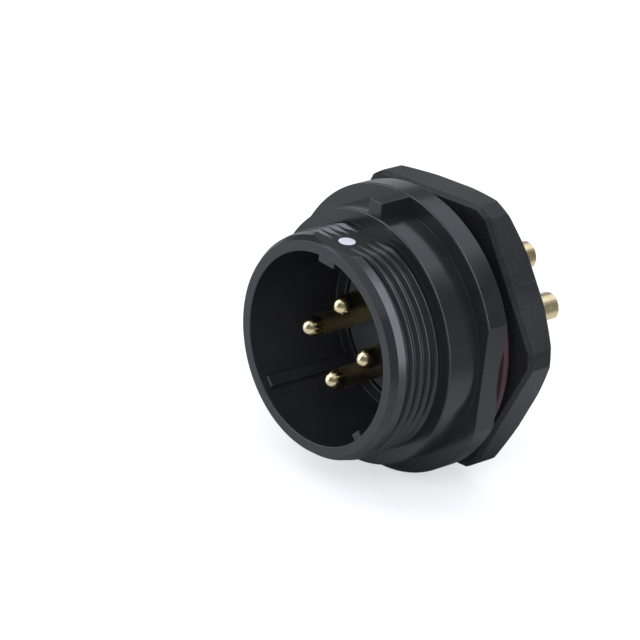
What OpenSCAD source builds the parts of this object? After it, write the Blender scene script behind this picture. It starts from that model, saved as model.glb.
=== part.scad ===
// Panel receptacle of a threaded circular power connector, four pins, rear-nut mounting.
// Frame: the connector's axis is Y and the mating end looks along -Y; the top key and the dot
// face +Z. The origin is on the axis at the rear face of the flange, where the panel clamps.
// "Clock" angles are seen from the mating end: 0 is +X, 90 is +Z.

/* [Coupling end] */
// Major diameter of the coupling thread
coupling_d = 33; // [31:0.1:42]
// Length from the front rim to the collar
coupling_len = 8.3; // [6.5:0.1:11]
// Pitch of the coupling thread
coupling_pitch = 1.5; // [1:0.25:2]
// Height of the coupling thread's ridges
coupling_ridge_h = 0.6; // [0.4:0.05:0.8]
// Width of a ridge at its crest
coupling_crest_w = 0.2; // [0.1:0.05:0.3]
// Width of the groove between the last ridge's crest and the collar
coupling_relief = 0.1; // [0.05:0.05:0.6]
// How far the front of the plain land behind the rim lies below the crests
land_drop = 0.32; // [0.24:0.02:0.38]
// How much the land rises from its front to the thread
land_taper = 0.22; // [0.06:0.02:0.22]
// Length of the plain land behind the rim's chamfer
land_len = 1.5; // [1:0.1:2]
// Radial size of the lead-in chamfer at the rim
rim_chamfer_r = 0.64; // [0.3:0.02:1]
// Axial size of the lead-in chamfer at the rim
rim_chamfer_len = 1; // [0.5:0.1:1.5]
// Depth of the flat across the thread at the top, from the crests
thread_flat_depth = 0.75; // [0.5:0.05:1]

/* [Socket cavity] */
// Wall between the coupling thread's crests and the cavity's mouth
coupling_wall = 2.5; // [2:0.1:3.2]
// Depth of the cavity, from the rim to the lip at its floor
cavity_depth = 16.3; // [13.5:0.1:19.5]
// Draft of the cavity: radius lost from mouth to floor
cavity_draft = 0.2; // [0:0.05:0.4]
// Height of the polarising keys at the mouth
key_h = 1.1; // [0.6:0.1:1.4]
// Width of the wide key at the top
top_key_w = 3.2; // [2:0.1:4]
// Width of the two narrow keys
side_key_w = 1.7; // [1.2:0.1:2.4]
// Angle of each narrow key from the wide one
side_key_angle = 135; // [110:1:150]
// How far the wide key starts behind the rim
top_key_setback = 0.2; // [0.1:0.1:1]
// How far the narrow keys start behind the rim
side_key_setback = 0.7; // [0.1:0.1:2]

/* [Collar and flange] */
// Radial step from the thread's crests up to the collar
collar_step = 2.1; // [1.2:0.1:4]
// Length of the collar
collar_len = 5.5; // [4.5:0.1:8]
// Radial step from the collar up to the flange
flange_step = 2.5; // [1.5:0.1:5]
// Thickness of the flange
flange_t = 3.6; // [3:0.1:5]
// Depth of the two flats on the flange's sides
flange_flat_depth = 1.6; // [0.4:0.1:2.4]
// Width of the locating block on the collar
block_w = 2.5; // [2:0.1:4]
// Edge break on the collar and the flange
edge_break = 0.2; // [0.1:0.05:0.4]

/* [Mounting barrel] */
// Radial step from the coupling thread's crests down to the mounting thread's
mount_step = 1.5; // [1.2:0.1:2.5]
// Length of the barrel behind the flange
mount_len = 11.8; // [9.8:0.1:15]
// Wall of the barrel
mount_wall = 2; // [1.6:0.1:2.6]
// Depth of the flat that keeps the barrel from turning in its panel hole
mount_flat_depth = 0.7; // [0.4:0.05:0.9]
// Chamfer at the barrel's end
mount_chamfer = 0.7; // [0.3:0.1:1]
// Thickness of the lip that the insulator seats on
lip_t = 1.2; // [0.8:0.1:1.6]
// Radial height of that lip
lip_h = 1.05; // [0.7:0.05:1.6]

/* [Nut and gasket] */
// Width of the nut's ring, from the mounting thread to a flat
nut_ring_w = 4.75; // [3.8:0.05:8]
// How much of the nut's sharp corners is turned away
nut_corner_cut = 0.7; // [0.3:0.1:1.6]
// Thickness of the nut
nut_t = 5.2; // [4:0.1:6.5]
// Panel thickness that the nut is set for
panel_t = 2.1; // [2:0.1:3.3]
// Clock angle of one of the nut's flats
nut_clock = 36; // [0:1:59]
// Radial size of the turned chamfer behind, at the nut's corners
nut_rear_chamfer_r = 2.1; // [1:0.1:3]
// Chamfer around the nut's front face
nut_front_chamfer = 0.5; // [0.2:0.1:1]
// Radial distance from the flange's edge down to the gasket's
gasket_margin = 0.9; // [0.2:0.1:1.5]
// Thickness of the panel gasket
gasket_t = 1; // [0.8:0.1:1.6]

/* [Contacts] */
// Diameter of the pins
pin_d = 3; // [2.4:0.1:3.6]
// Diameter of the circle that the pins stand on
pin_circle_d = 11.6; // [9.6:0.1:14]
// How far the pin tips lie behind the rim
tip_setback = 3; // [1:0.1:6]
// How much wider the pin's root is where it enters the insulator
root_extra = 0.5; // [0.2:0.1:0.8]
// How far the pin's root stands proud of the insulator
root_proud = 0.4; // [0.2:0.1:1]
// Outer diameter of the solder cups
cup_d = 4.2; // [3.8:0.1:5.1]
// Wall of the solder cups
cup_wall = 0.45; // [0.3:0.05:0.8]
// Depth of the solder cup's bore
cup_depth = 8.5; // [5:0.1:10.2]
// Length of the cut-away mouth of the solder cup
scoop_len = 4.6; // [2:0.1:6]
// How much of the cup's outside the cut-away takes
scoop_depth = 0.9; // [0.5:0.1:1.8]
// How far the cups reach behind the barrel
cup_reach = 11.2; // [9.3:0.1:13.5]
// Radial step from the cup up to the shoulder that holds the contact
shoulder_step = 0.85; // [0.6:0.05:1.1]
// Thickness of that shoulder
shoulder_t = 2; // [1.6:0.1:2.6]

/* [Insulators] */
// How deep the front insulator's boss lies behind the cavity's floor
boss_recess = 0.5; // [0.2:0.1:0.8]
// Depth of the contact shoulders' seats, from the lip
seat_depth = 1.9; // [1.6:0.1:2.4]
// Cross-section of the insulator's seal
seal_section = 1.44; // [1.2:0.02:1.74]
// Wall between that seal's groove and the insulator's rear face
seal_land = 0.9; // [0.6:0.1:1.2]
// Thickness of the retaining ring
ring_t = 1.4; // [1:0.1:2]
// Radial width of the retaining ring
ring_w = 2.3; // [1.6:0.1:3]
// How far the retaining ring lies inside the barrel's end
ring_setback = 1.4; // [0.8:0.1:2]

/* [Clearances] */
// Radial running clearance between the nut and the mounting thread
thread_clearance = 0.05; // [0.02:0.01:0.1]
// Radial clearance of the gasket around the mounting thread
gasket_clearance = 0.1; // [0.05:0.05:0.5]
// Radial clearance of the insulators and the ring in the barrel
insulator_clearance = 0.1; // [0.05:0.05:0.2]
// Radial clearance of the contacts in the insulators
contact_clearance = 0.05; // [0.02:0.01:0.1]
// Clearance of the seals from the walls that they lie between
seal_clearance = 0.04; // [0.02:0.01:0.08]

/* [Hidden] */
$fn = 96;
contact_count = 4;
past = 1;                       // how far a cutter runs past what it cuts
sunk = 0.4;                     // how far a rib or a block is sunk into its wall

// Radii, from the coupling thread inwards and outwards
crest_r = coupling_d / 2;
root_r = crest_r - coupling_ridge_h;
land_r = crest_r - land_drop;
land_rear_r = land_r + land_taper;
rim_r = land_r - rim_chamfer_r;
mouth_r = crest_r - coupling_wall;
floor_r = mouth_r - cavity_draft;
key_r = mouth_r - key_h;
collar_r = crest_r + collar_step;
flange_r = collar_r + flange_step;
mount_r = crest_r - mount_step;
bore_r = mount_r - mount_wall;
lip_r = bore_r - lip_h;
insulator_r = bore_r - insulator_clearance;
boss_r = lip_r - insulator_clearance;
nut_flat_r = mount_r + nut_ring_w;
nut_corner_r = nut_flat_r / cos(30) - nut_corner_cut;

// Radii of a contact and of its seats in the insulators
pin_r = pin_d / 2;
pin_circle_r = pin_circle_d / 2;
root_pin_r = pin_r + root_extra / 2;
cup_r = cup_d / 2;
cup_bore_r = cup_r - cup_wall;
shoulder_r = cup_r + shoulder_step;
socket_r = shoulder_r + insulator_clearance;
contact_seal_section = socket_r - cup_r - 2 * seal_clearance;

// Stations along the axis
flange_y = -flange_t;
collar_y = flange_y - collar_len;
rim_y = collar_y - coupling_len;
floor_y = rim_y + cavity_depth;
boss_y = floor_y + boss_recess;
tip_y = rim_y + tip_setback;
lip_y = floor_y + lip_t;
seat_y = lip_y + seat_depth;
shoulder_y = seat_y + shoulder_t;
split_y = shoulder_y + contact_seal_section + 2 * seal_clearance;
ring_end_y = mount_len - ring_setback;
ring_y = ring_end_y - ring_t;
cup_end_y = mount_len + cup_reach;
nut_y = gasket_t + panel_t;
nut_end_y = nut_y + nut_t;

// Groove of the insulator's seal
seal_groove_r = bore_r - seal_section - 2 * seal_clearance;
seal_groove_w = seal_section + 4 * seal_clearance;
seal_y = split_y - seal_land - seal_groove_w / 2;

// Coupling thread: 60 degree ridges, counted forward from the collar, one for each turn
flank_w = coupling_ridge_h * tan(30);
land_flank_w = (land_rear_r - root_r) * tan(30);
land_end_y = rim_y + rim_chamfer_len + land_len;
first_crest_y = collar_y - coupling_relief - coupling_crest_w / 2;
last_crest_y = land_end_y + land_flank_w + flank_w + coupling_crest_w / 2;
ridge_count = 1 + floor((first_crest_y - last_crest_y) / coupling_pitch);

// Spline that keeps the front insulator in line with the cavity's keys
spline_w = 2;
spline_h = 0.8;
spline_len = 1.2;
spline_gap = 0.15;

// Contacts are numbered from the top one, clockwise as seen from the mating end
function contact_clock(i) = 90 - 360 / contact_count * i;

// The point on the pin circle where contact i stands
function contact_place(i) =
    pin_circle_r * [cos(contact_clock(i)), 0, sin(contact_clock(i))];

// Turn a shape that is built along Z so that Z becomes the connector's axis, Y
module on_axis() rotate([-90, 0, 0]) children();

// Place a shape that is built along Z at a clock angle and a radius
module at_clock(angle, r) rotate([0, 0, -angle]) translate([r, 0, 0]) children();

// A body turned on the axis, from points of radius and station
module turned(points) on_axis() rotate_extrude($fn = 180) polygon(points);

// A round bar or a drilled hole between two stations
module round_bar(r, from_y, to_y)
    on_axis() translate([0, 0, from_y]) cylinder(r = r, h = to_y - from_y);

// The crest and the feet of one ridge of the coupling thread, from its rear to its front
function ridge(y) = [
    [root_r, y + coupling_crest_w / 2 + flank_w], [crest_r, y + coupling_crest_w / 2],
    [crest_r, y - coupling_crest_w / 2], [root_r, y - coupling_crest_w / 2 - flank_w]
];

// All ridges; the rear flank of the first one is cut short by the collar's relief
function ridges() = [
    for (k = [0 : ridge_count - 1], p = ridge(first_crest_y - k * coupling_pitch))
        if (p[1] < collar_y - coupling_relief / 2) p
];

// Half section of the shell: forward over the outside, then back through the bores
function shell_profile() = concat(
    [[mount_r - mount_chamfer, mount_len], [mount_r, mount_len - mount_chamfer], [mount_r, 0],
     [flange_r - edge_break, 0], [flange_r, -edge_break],
     [flange_r, flange_y + edge_break], [flange_r - edge_break, flange_y],
     [collar_r, flange_y], [collar_r, collar_y + edge_break],
     [collar_r - edge_break, collar_y], [crest_r, collar_y]],
    ridges(),
    [[root_r, land_end_y + land_flank_w], [land_rear_r, land_end_y],
     [land_r, rim_y + rim_chamfer_len], [rim_r, rim_y],
     [mouth_r, rim_y], [floor_r, floor_y], [lip_r, floor_y], [lip_r, lip_y],
     [bore_r, lip_y], [bore_r, mount_len]]
);

// A key of the cavity: a rib with a flat top that ends in the lip
module cavity_key(clock, w, setback) {
    rib_h = mouth_r + sunk - key_r;
    on_axis() at_clock(clock, key_r) translate([0, -w / 2, rim_y + setback])
        cube([rib_h, w, cavity_depth - setback + lip_t / 2]);
}

// The block on the collar that lines the coupling up; its top is flush with the flange
module locating_block() {
    top = sqrt(pow(flange_r, 2) - pow(block_w / 2, 2)) - edge_break / 2;
    bottom = collar_r - 2 * sunk;
    translate([-block_w / 2, collar_y + edge_break, bottom])
        cube([block_w, collar_len + sunk, top - bottom]);
}

module shell() color([0.10, 0.10, 0.11]) difference() {
    union() {
        turned(shell_profile());
        cavity_key(90, top_key_w, top_key_setback);
        for (side = [-1, 1])
            cavity_key(90 + side * side_key_angle, side_key_w, side_key_setback);
        locating_block();
        translate([-spline_w / 2, lip_y - lip_t / 2, bore_r - spline_h])
            cube([spline_w, lip_t / 2 + spline_len, spline_h + sunk]);
    }
    // flat across the coupling thread at the top, where the alignment dot goes
    translate([-crest_r, rim_y - past, crest_r - thread_flat_depth])
        cube([2 * crest_r, coupling_len + past, crest_r]);
    // flats on the two sides of the flange
    for (turn = [0, 180])
        rotate([0, turn, 0]) translate([flange_r - flange_flat_depth, flange_y - past, -flange_r])
            cube([flange_r, flange_t + 2 * past, 2 * flange_r]);
    // flat along the mounting thread
    translate([-mount_r, 0, mount_r - mount_flat_depth])
        cube([2 * mount_r, mount_len + past, mount_r]);
}

module panel_gasket() color([0.72, 0.10, 0.07]) difference() {
    round_bar(flange_r - gasket_margin, 0, gasket_t);
    round_bar(mount_r + gasket_clearance, -past, gasket_t + past);
}

// Hexagon with its corners turned down, a turned chamfer behind and a broken edge in front
module hex_nut() color([0.16, 0.16, 0.17]) difference() {
    intersection() {
        on_axis() rotate([0, 0, 30 - nut_clock]) translate([0, 0, nut_y])
            cylinder(r = nut_flat_r / cos(30), h = nut_t, $fn = 6);
        turned([[0, nut_y], [nut_corner_r - nut_front_chamfer, nut_y],
                [nut_corner_r, nut_y + nut_front_chamfer],
                [nut_corner_r, nut_end_y - nut_rear_chamfer_r * tan(30)],
                [nut_corner_r - nut_rear_chamfer_r, nut_end_y], [0, nut_end_y]]);
    }
    round_bar(mount_r + thread_clearance, nut_y - past, nut_end_y + past);
    for (k = [0 : 5])
        on_axis() at_clock(nut_clock + 60 * k, nut_flat_r) translate([0, 0, nut_y])
            rotate([0, 45, 0])
                cube([nut_front_chamfer * sqrt(2), 2 * nut_flat_r, nut_front_chamfer * sqrt(2)],
                     center = true);
}

module front_insulator() color([0.12, 0.12, 0.13]) difference() {
    turned([[0, boss_y], [boss_r, boss_y], [boss_r, lip_y], [insulator_r, lip_y],
            [insulator_r, seal_y - seal_groove_w / 2], [seal_groove_r, seal_y - seal_groove_w / 2],
            [seal_groove_r, seal_y + seal_groove_w / 2], [insulator_r, seal_y + seal_groove_w / 2],
            [insulator_r, split_y], [0, split_y]]);
    for (i = [0 : contact_count - 1]) translate(contact_place(i)) {
        round_bar(root_pin_r + contact_clearance, boss_y - past, seat_y + past);
        round_bar(socket_r, seat_y, split_y + past);
    }
    translate([-spline_w / 2 - spline_gap, lip_y - lip_t, bore_r - spline_h - spline_gap])
        cube([spline_w + 2 * spline_gap, lip_t + spline_len + spline_gap, spline_h + past]);
}

module rear_insulator() color([0.12, 0.12, 0.13]) difference() {
    round_bar(insulator_r, split_y, ring_y);
    for (i = [0 : contact_count - 1]) translate(contact_place(i))
        round_bar(cup_r + contact_clearance, split_y - past, ring_y + past);
}

// Ring that holds the insulators in, with two notches for a spanner
module retaining_ring() color([0.14, 0.14, 0.15]) difference() {
    round_bar(insulator_r, ring_y, ring_end_y);
    round_bar(insulator_r - ring_w, ring_y - past, ring_end_y + past);
    for (turn = [0, 180])
        rotate([0, turn, 0])
            translate([insulator_r - 1.5 * ring_w, ring_end_y - ring_t / 2, -ring_w / 2])
                cube([ring_w, ring_t, ring_w]);
}

// A seal of round section between two radii
module seal_ring(inner_r, outer_r, y)
    translate([0, y, 0]) on_axis() rotate_extrude() translate([(inner_r + outer_r) / 2, 0])
        circle(r = (outer_r - inner_r) / 2, $fn = 32);

module insulator_seal() color([0.72, 0.10, 0.07])
    seal_ring(seal_groove_r + seal_clearance, bore_r - seal_clearance, seal_y);

module contact_seal(i) color([0.72, 0.10, 0.07]) translate(contact_place(i))
    seal_ring(cup_r + seal_clearance, socket_r - seal_clearance, (shoulder_y + split_y) / 2);

// Turned contact: rounded pin, root, shoulder and a solder cup with a cut-away mouth
module contact(i) color([0.85, 0.68, 0.30]) translate(contact_place(i)) difference() {
    on_axis() rotate_extrude($fn = 48) {
        polygon([[0, tip_y + pin_r], [pin_r, tip_y + pin_r], [pin_r, boss_y - root_proud],
                 [root_pin_r, boss_y - root_proud], [root_pin_r, seat_y], [shoulder_r, seat_y],
                 [shoulder_r, shoulder_y], [cup_r, shoulder_y], [cup_r, cup_end_y],
                 [cup_bore_r, cup_end_y], [cup_bore_r, cup_end_y - cup_depth],
                 [0, cup_end_y - cup_depth - cup_bore_r / 2]]);
        intersection() {
            translate([0, tip_y + pin_r]) circle(r = pin_r);
            translate([0, tip_y]) square([pin_r, pin_r + sunk]);
        }
    }
    // the mouth opens downwards and its inner end is rounded
    scoop_y = cup_end_y - scoop_len + scoop_depth;
    translate([-cup_r - past, scoop_y, -2 * cup_r])
        cube([cup_d + 2 * past, scoop_len, cup_r + scoop_depth]);
    translate([0, scoop_y, -cup_r]) rotate([0, 90, 0])
        cylinder(r = scoop_depth, h = cup_d + 2 * past, center = true);
}

shell();
panel_gasket();
hex_nut();
front_insulator();
rear_insulator();
retaining_ring();
insulator_seal();
contact(0);  // contact_1
contact(1);  // contact_2
contact(2);  // contact_3
contact(3);  // contact_4
contact_seal(0);  // contact_seal_1
contact_seal(1);  // contact_seal_2
contact_seal(2);  // contact_seal_3
contact_seal(3);  // contact_seal_4
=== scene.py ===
"""Looks of the panel-mount circular power connector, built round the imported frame.

The connector's axis is Y: the keyed socket looks along -Y, the solder cups along +Y, and the
wide key and the alignment dot face +Z. Lengths are in millimetres until a mesh is finished,
and in metres after that, as in the frame. A "clock" angle is seen from the mating end: 0 is
+X and 90 is +Z.
"""

import logging
import math
from dataclasses import dataclass, field, replace
from enum import Enum
from typing import Iterable, Sequence

import bmesh
import bpy
from mathutils import Matrix, Vector


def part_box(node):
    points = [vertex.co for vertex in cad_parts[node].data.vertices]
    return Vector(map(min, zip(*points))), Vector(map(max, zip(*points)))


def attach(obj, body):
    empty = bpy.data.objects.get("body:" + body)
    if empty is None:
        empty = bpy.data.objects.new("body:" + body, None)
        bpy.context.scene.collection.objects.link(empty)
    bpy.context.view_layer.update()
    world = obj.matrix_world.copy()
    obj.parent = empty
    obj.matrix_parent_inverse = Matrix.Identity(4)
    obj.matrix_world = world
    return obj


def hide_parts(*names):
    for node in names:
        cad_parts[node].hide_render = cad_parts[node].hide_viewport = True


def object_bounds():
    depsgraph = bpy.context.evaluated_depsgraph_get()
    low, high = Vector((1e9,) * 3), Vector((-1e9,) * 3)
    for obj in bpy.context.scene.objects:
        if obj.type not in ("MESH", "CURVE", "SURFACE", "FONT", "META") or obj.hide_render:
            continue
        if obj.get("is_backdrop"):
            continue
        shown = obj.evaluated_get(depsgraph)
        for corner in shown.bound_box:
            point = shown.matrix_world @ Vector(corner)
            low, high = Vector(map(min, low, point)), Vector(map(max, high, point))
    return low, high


log = logging.getLogger("connector")
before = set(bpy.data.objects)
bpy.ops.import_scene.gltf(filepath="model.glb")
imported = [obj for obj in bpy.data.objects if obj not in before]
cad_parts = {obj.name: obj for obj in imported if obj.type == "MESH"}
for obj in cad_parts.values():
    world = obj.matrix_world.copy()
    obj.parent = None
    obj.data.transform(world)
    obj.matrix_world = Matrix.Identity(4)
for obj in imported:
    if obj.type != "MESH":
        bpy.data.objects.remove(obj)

Colour = tuple[float, float, float]
Corner = tuple[float, float, float]

MM = 0.001
AXIS = Vector((0.0, 1.0, 0.0))
# Edges that bend by more than this are shaded sharp
SHARP_DEG = 24.0
# Segments of a full turn about the connector's axis
TURN_STEPS = 192
# How far apart points are merged, in millimetres: after turning a profile, after winding a
# thread, before edges are rounded, and last of all
TURN_MERGE = 1e-5
THREAD_MERGE = 2e-3
ROUNDING_MERGE = 1e-3
LAST_MERGE = 2e-4
# How far a cutter reaches past what it cuts
PAST = 1.0


class Body(Enum):
    """The rigid bodies of the frame."""

    CONNECTOR = "connector"
    NUT = "nut"


class Rays(Enum):
    """Which rays find a lamp: a reflector card is only mirrored, a fill light only lights."""

    ALL = "all"
    GLOSSY = "glossy"
    DIFFUSE = "diffuse"


class Cut(Enum):
    """How one solid is combined with another."""

    ADD = "UNION"
    TAKE = "DIFFERENCE"
    KEEP = "INTERSECT"


# --- Finishes --------------------------------------------------------------------------------


class NodeTree:
    """Small helper that adds, fills and links shader nodes."""

    def __init__(self, tree: bpy.types.NodeTree) -> None:
        """Keep the tree that nodes are added to."""
        self.tree = tree

    def feed(self, socket: bpy.types.NodeSocket, value: object) -> None:
        """Link an input to another node's output, or set it to a constant.

        Args:
            socket: the input.
            value: the output or the constant.
        """
        if isinstance(value, bpy.types.NodeSocket):
            self.tree.links.new(value, socket)
        else:
            socket.default_value = value

    def fill(self, node: bpy.types.Node, **settings: object) -> bpy.types.Node:
        """Set a node's properties and inputs.

        Args:
            node: the node.
            settings: a property's value, or an input's constant or source where the node has no
                property of that name; an underscore stands for a space.

        Returns:
            The node.
        """
        for name, value in settings.items():
            if hasattr(node, name):
                setattr(node, name, value)
            else:
                self.feed(node.inputs[name.replace("_", " ")], value)
        return node

    def add(self, kind: str, **settings: object) -> bpy.types.Node:
        """Add a node.

        Args:
            kind: type of the node, without its prefix.
            settings: as for fill.

        Returns:
            The node.
        """
        return self.fill(self.tree.nodes.new(f"ShaderNode{kind}"), **settings)

    def math(self, how: str, a: object, b: object) -> bpy.types.NodeSocket:
        """Combine two numbers.

        Args:
            how: operation of the Math node.
            a: source or constant.
            b: source or constant.

        Returns:
            The result's socket.
        """
        node = self.add("Math", operation=how)
        self.feed(node.inputs[0], a)
        self.feed(node.inputs[1], b)
        return node.outputs[0]

    def vector(self, how: str, a: object, b: object) -> bpy.types.NodeSocket:
        """Combine two vectors.

        Args:
            how: operation of the Vector Math node.
            a: source or constant.
            b: source or constant.

        Returns:
            The result's socket.
        """
        node = self.add("VectorMath", operation=how)
        self.feed(node.inputs[0], a)
        self.feed(node.inputs[1], b)
        return node.outputs["Value" if how == "DISTANCE" else "Vector"]

    def remap(
        self, value: bpy.types.NodeSocket, low: float, high: float, to_low: float, to_high: float
    ) -> bpy.types.NodeSocket:
        """Map a range of values to another, clamped.

        Args:
            value: the socket to map.
            low: start of its range.
            high: end of its range.
            to_low: value given at the start.
            to_high: value given at the end.

        Returns:
            The result's socket.
        """
        node = self.add(
            "MapRange", Value=value, From_Min=low, From_Max=high, To_Min=to_low, To_Max=to_high
        )
        return node.outputs["Result"]

    def blend(
        self, first: Colour, second: Colour, factor: bpy.types.NodeSocket
    ) -> bpy.types.NodeSocket:
        """Mix two colours.

        Args:
            first: colour shown at 0.
            second: colour shown at 1.
            factor: how much of the second shows.

        Returns:
            The result's socket.
        """
        node = self.add(
            "Mix", data_type="RGBA", A=(*first, 1.0), B=(*second, 1.0), Factor=factor
        )
        return node.outputs["Result"]


class Effects:
    """Shader groups that several finishes share, each built once."""

    def __init__(self) -> None:
        """Build the pitted grain of a mould, a moulding's cloudy haze and a turning tool's rings."""
        self.grain = self._build("fine_grain", Detail=4.0, Roughness=0.62)
        self.haze = self._build("moulding_haze", Detail=2.0, Roughness=0.45, Distortion=0.6)
        self.turning = self._build(
            "turning_marks", stretch=(0.05, 1.0, 0.05), Detail=5.0, Roughness=0.7
        )

    @staticmethod
    def _build(
        name: str, stretch: Sequence[float] = (1.0, 1.0, 1.0), **noise: float
    ) -> bpy.types.NodeTree:
        """Make a group that puts out a mask of noise.

        Args:
            name: name of the group.
            stretch: scale along x, y and z on top of the effect's own scale.
            noise: inputs of its noise node.

        Returns:
            The group.
        """
        group = bpy.data.node_groups.new(name, "ShaderNodeTree")
        for label, kind in (("Position", "Vector"), ("Per Millimetre", "Float"), ("Contrast", "Float")):
            group.interface.new_socket(label, in_out="INPUT", socket_type=f"NodeSocket{kind}")
        group.interface.new_socket("Mask", in_out="OUTPUT", socket_type="NodeSocketFloat")
        tree = NodeTree(group)
        given = group.nodes.new("NodeGroupInput")
        result = group.nodes.new("NodeGroupOutput")
        per_metre = tree.math("MULTIPLY", given.outputs["Per Millimetre"], 1.0 / MM)
        scaled = tree.vector("MULTIPLY", given.outputs["Position"], per_metre)
        pattern = tree.add(
            "TexNoise", Scale=1.0, Vector=tree.vector("MULTIPLY", scaled, stretch), **noise
        )
        middle = 0.5
        off = tree.math("SUBTRACT", pattern.outputs["Fac"], middle)
        wide = tree.math("MULTIPLY", off, given.outputs["Contrast"])
        shown = tree.math("ADD", wide, middle)
        tree.feed(result.inputs["Mask"], tree.remap(shown, 0.0, 1.0, 0.0, 1.0))
        return group


@dataclass(frozen=True)
class Finish:
    """A surface finish, made of shared effects and the shader's own constants.

    Attributes:
        name: name of the material.
        slot: name of a slot; not used.
        tone: base colour, linear.
        other_tone: colour that the haze mixes in.
        rough: roughness where haze and grain are low.
        other_rough: roughness where they are high.
        grain_per_mm: scale of the grain.
        grain_depth: depth of the grain in millimetres.
        grain_contrast: contrast of the grain.
        speckle: how much the grain's peaks lighten the colour.
        metallic: 1 for metal.
        specular: specular level.
        haze_per_mm: scale of the haze.
        haze_contrast: contrast of the haze.
        haze_share: share of the haze in the roughness; the grain has the rest.
        turned: whether the grain is the rings of a turned surface.
        worn: stations between which mating has rubbed the surface, in millimetres.
        worn_rough: how much rougher it is there.
    """

    name: str
    slot: str
    tone: Colour
    other_tone: Colour
    rough: float
    other_rough: float
    grain_per_mm: float = 6.0
    grain_depth: float = 0.004
    grain_contrast: float = 2.2
    speckle: float = 0.0
    metallic: float = 0.0
    specular: float = 0.5
    haze_per_mm: float = 0.09
    haze_contrast: float = 2.6
    haze_share: float = 0.7
    turned: bool = False
    worn: tuple[float, float] | None = None
    worn_rough: float = 0.0

    def build(self, effects: Effects) -> None:
        """Make the material.

        Args:
            effects: the shared shader groups.
        """
        material = bpy.data.materials.new(self.name)
        material.use_nodes = True
        tree = NodeTree(material.node_tree)
        shader = tree.fill(
            material.node_tree.nodes["Principled BSDF"],
            Metallic=self.metallic,
            Specular_IOR_Level=self.specular,
        )
        point = tree.add("TexCoord").outputs["Object"]
        marks = effects.turning if self.turned else effects.grain
        grain, haze = (
            tree.add(
                "Group", node_tree=group, Position=point, Per_Millimetre=per_mm, Contrast=contrast
            ).outputs["Mask"]
            for group, per_mm, contrast in (
                (marks, self.grain_per_mm, self.grain_contrast),
                (effects.haze, self.haze_per_mm, self.haze_contrast),
            )
        )
        colour = tree.blend(self.tone, self.other_tone, haze)
        if self.speckle > 0.0:
            peaks = tree.remap(grain, 0.55, 0.95, 0.0, 1.0)
            added = (self.speckle, self.speckle, self.speckle, 1.0)
            colour = tree.add(
                "Mix", data_type="RGBA", blend_type="ADD", A=colour, B=added, Factor=peaks
            ).outputs["Result"]
        both = tree.math(
            "ADD",
            tree.math("MULTIPLY", haze, self.haze_share),
            tree.math("MULTIPLY", grain, 1.0 - self.haze_share),
        )
        rough = tree.remap(both, 0.0, 1.0, self.rough, self.other_rough)
        if self.worn:
            station = tree.add("SeparateXYZ", Vector=point).outputs["Y"]
            start, end = (y * MM for y in self.worn)
            enter = tree.remap(station, start - MM, start, 0.0, self.worn_rough)
            leave = tree.remap(station, end, end + MM, 1.0, 0.0)
            rough = tree.math("ADD", rough, tree.math("MULTIPLY", enter, leave))
        bump = tree.add("Bump", Strength=0.6, Distance=self.grain_depth * MM, Height=grain)
        tree.fill(shader, Base_Color=colour, Roughness=rough, Normal=bump.outputs["Normal"])


SHELL_FINISH = Finish(
    "satin_black_nylon", "shell_plastic", (0.0130, 0.0130, 0.0140), (0.0150, 0.0150, 0.0161),
    rough=0.15, other_rough=0.24, grain_per_mm=9.0, grain_depth=0.0018, speckle=0.0015,
)
NUT_FINISH = Finish(
    "matt_black_nylon", "nut_plastic", (0.0100, 0.0098, 0.0107), (0.0125, 0.0123, 0.0133),
    rough=0.34, other_rough=0.46, grain_per_mm=2.6, grain_depth=0.030, speckle=0.013,
    specular=0.30,
)
INSULATOR_FINISH = Finish(
    "black_insulating_plastic", "insulator_plastic", (0.060, 0.062, 0.068), (0.072, 0.074, 0.081),
    rough=0.38, other_rough=0.50, grain_per_mm=6.0, grain_depth=0.010, speckle=0.014,
)
GASKET_FINISH = Finish(
    "dark_red_silicone", "gasket_silicone", (0.033, 0.0118, 0.0128), (0.042, 0.0150, 0.0161),
    rough=0.48, other_rough=0.60, grain_per_mm=5.0, grain_depth=0.008, speckle=0.003,
    specular=0.32,
)
SEAL_FINISH = Finish(
    "dark_red_seal_rubber", "seal_silicone", (0.095, 0.013, 0.014), (0.110, 0.016, 0.016),
    rough=0.38, other_rough=0.50, grain_per_mm=5.0, grain_depth=0.006,
)
GOLD_FINISH = Finish(
    "gold_plating", "contact_gold", (0.84, 0.70, 0.40), (0.89, 0.76, 0.46),
    rough=0.11, other_rough=0.20, grain_per_mm=7.0, grain_depth=0.014, metallic=1.0,
    haze_per_mm=0.35, turned=True, worn=(-11.6, -1.0), worn_rough=0.16,
)
DOT_FINISH = Finish(
    "white_marking_paint", "shell_plastic", (0.66, 0.67, 0.68), (0.72, 0.73, 0.74),
    rough=0.30, other_rough=0.42, grain_per_mm=4.0, grain_depth=0.012, haze_per_mm=0.6,
)
FINISHES = (
    SHELL_FINISH, NUT_FINISH, INSULATOR_FINISH, GASKET_FINISH, SEAL_FINISH, GOLD_FINISH, DOT_FINISH,
)


# --- Outlines and solids ---------------------------------------------------------------------


def node_box(node: str) -> tuple[Vector, Vector]:
    """Corners of a node of the frame in millimetres.

    Args:
        node: name of the node.

    Returns:
        Its lowest and its highest corner.
    """
    low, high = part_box(node)
    return low / MM, high / MM


def polar(radius: float, clock: float) -> tuple[float, float]:
    """Point of a cross-section.

    Args:
        radius: distance from the axis.
        clock: clock angle in degrees.

    Returns:
        Its x and z.
    """
    turn = math.radians(clock)
    return radius * math.cos(turn), radius * math.sin(turn)


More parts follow.
